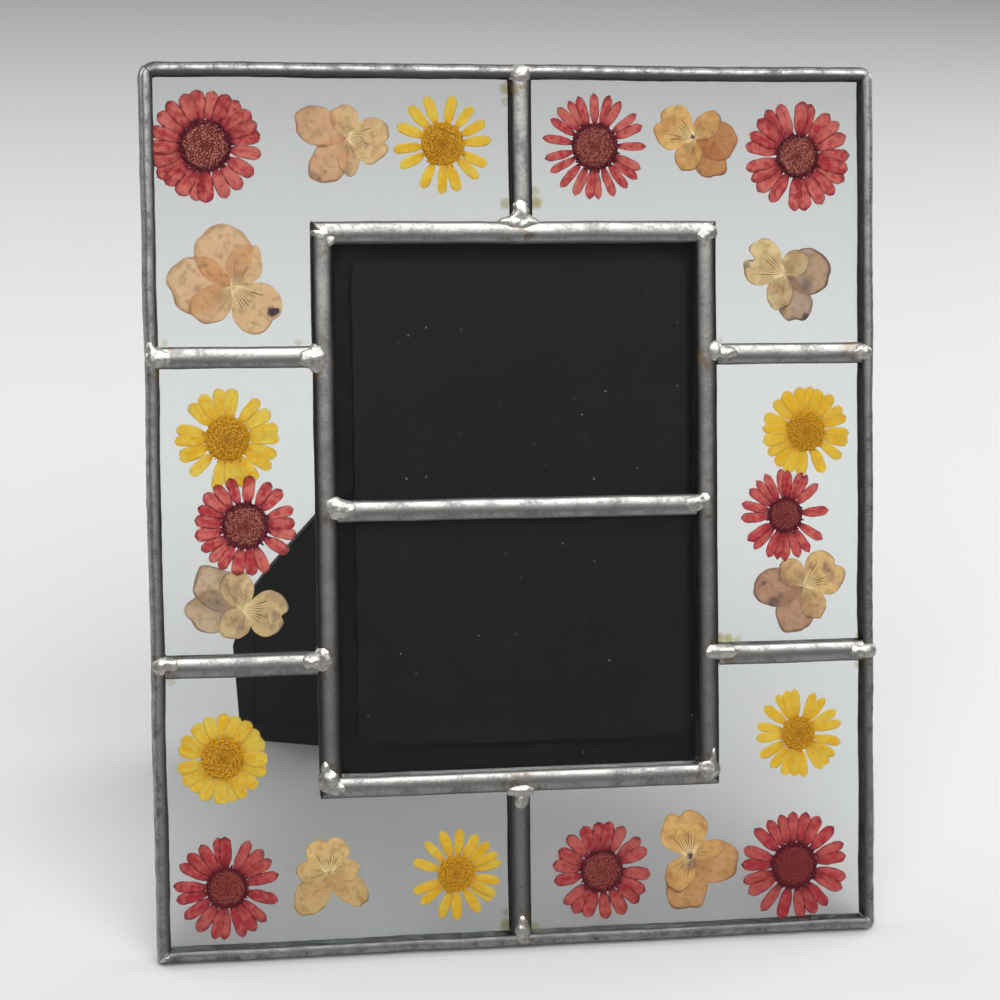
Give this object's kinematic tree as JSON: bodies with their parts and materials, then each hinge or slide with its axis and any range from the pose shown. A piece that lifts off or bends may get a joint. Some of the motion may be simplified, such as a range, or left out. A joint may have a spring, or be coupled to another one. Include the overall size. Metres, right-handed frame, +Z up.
{
  "type": "pressed flower frame",
  "caption": "Leaded glass picture frame with pressed flowers between double panes round a photo window, leaning on a hinged easel leg.",
  "frame": {"origin": "on the surface that the frame stands on, under the middle of its bounding box", "axes": "+X to the right seen from the front, +Y back from the front face towards the leg's foot, +Z up; the frame leans back 18 degrees from upright"},
  "size_m": [0.194, 0.13, 0.2224],
  "materials": {
    "lead": "soft grey lead with a matt speckled patina, burnished along the crest, bright silver solder lumps with amber flux residue at the joints",
    "glass": "clear float glass, faintly green through its thickness, polished, with dust and light smears",
    "red_petals": "dried crimson petals, thin and matt, darker at the rims and where they overlap",
    "yellow_petals": "dried golden petals, thin and matt, with fine veins lengthwise",
    "viola_petals": "dried tan petals, papery and half see-through, with fine dark veins from the eye",
    "black_board": "moulded black plastic, finely grained, satin on the rims",
    "hinge_steel": "plain steel pin, lightly brushed"
  },
  "bodies": {
    "frame": {"edge_lead_left": "lead", "edge_lead_right": "lead", "edge_lead_top": "lead", "edge_lead_bottom": "lead", "opening_lead_left": "lead", "opening_lead_right": "lead", "opening_lead_top": "lead", "opening_lead_bottom": "lead", "photo_bar": "lead", "bar_top": "lead", "bar_bottom": "lead", "bar_left_upper": "lead", "bar_left_lower": "lead", "bar_right_upper": "lead", "bar_right_lower": "lead", "front_glass_top_left": "glass", "front_glass_top_right": "glass", "front_glass_bottom_left": "glass", "front_glass_bottom_right": "glass", "front_glass_middle_left": "glass", "front_glass_middle_right": "glass", "back_glass_top_left": "glass", "back_glass_top_right": "glass", "back_glass_bottom_left": "glass", "back_glass_bottom_right": "glass", "back_glass_middle_left": "glass", "back_glass_middle_right": "glass", "photo_glass_upper": "glass", "photo_glass_lower": "glass", "red_daisy_1": "red_petals", "red_daisy_2": "red_petals", "red_daisy_3": "red_petals", "red_daisy_4": "red_petals", "red_daisy_5": "red_petals", "red_daisy_6": "red_petals", "red_daisy_7": "red_petals", "red_daisy_8": "red_petals", "yellow_daisy_1": "yellow_petals", "yellow_daisy_2": "yellow_petals", "yellow_daisy_3": "yellow_petals", "yellow_daisy_4": "yellow_petals", "yellow_daisy_5": "yellow_petals", "yellow_daisy_6": "yellow_petals", "viola_1": "viola_petals", "viola_2": "viola_petals", "viola_3": "viola_petals", "viola_4": "viola_petals", "viola_5": "viola_petals", "viola_6": "viola_petals", "viola_7": "viola_petals", "viola_8": "viola_petals", "backing_panel": "black_board", "hinge_pin": "hinge_steel"},
    "leg": {"easel_leg": "black_board"}
  },
  "joints": [
    {"name": "leg_hinge", "type": "hinge", "parent": "frame", "child": "leg", "pos_m": [-0.0131, -0.00064, 0.16247], "axis": [0.9135, -0.1257, -0.3868], "range_deg": [-37, 0]}
  ]
}
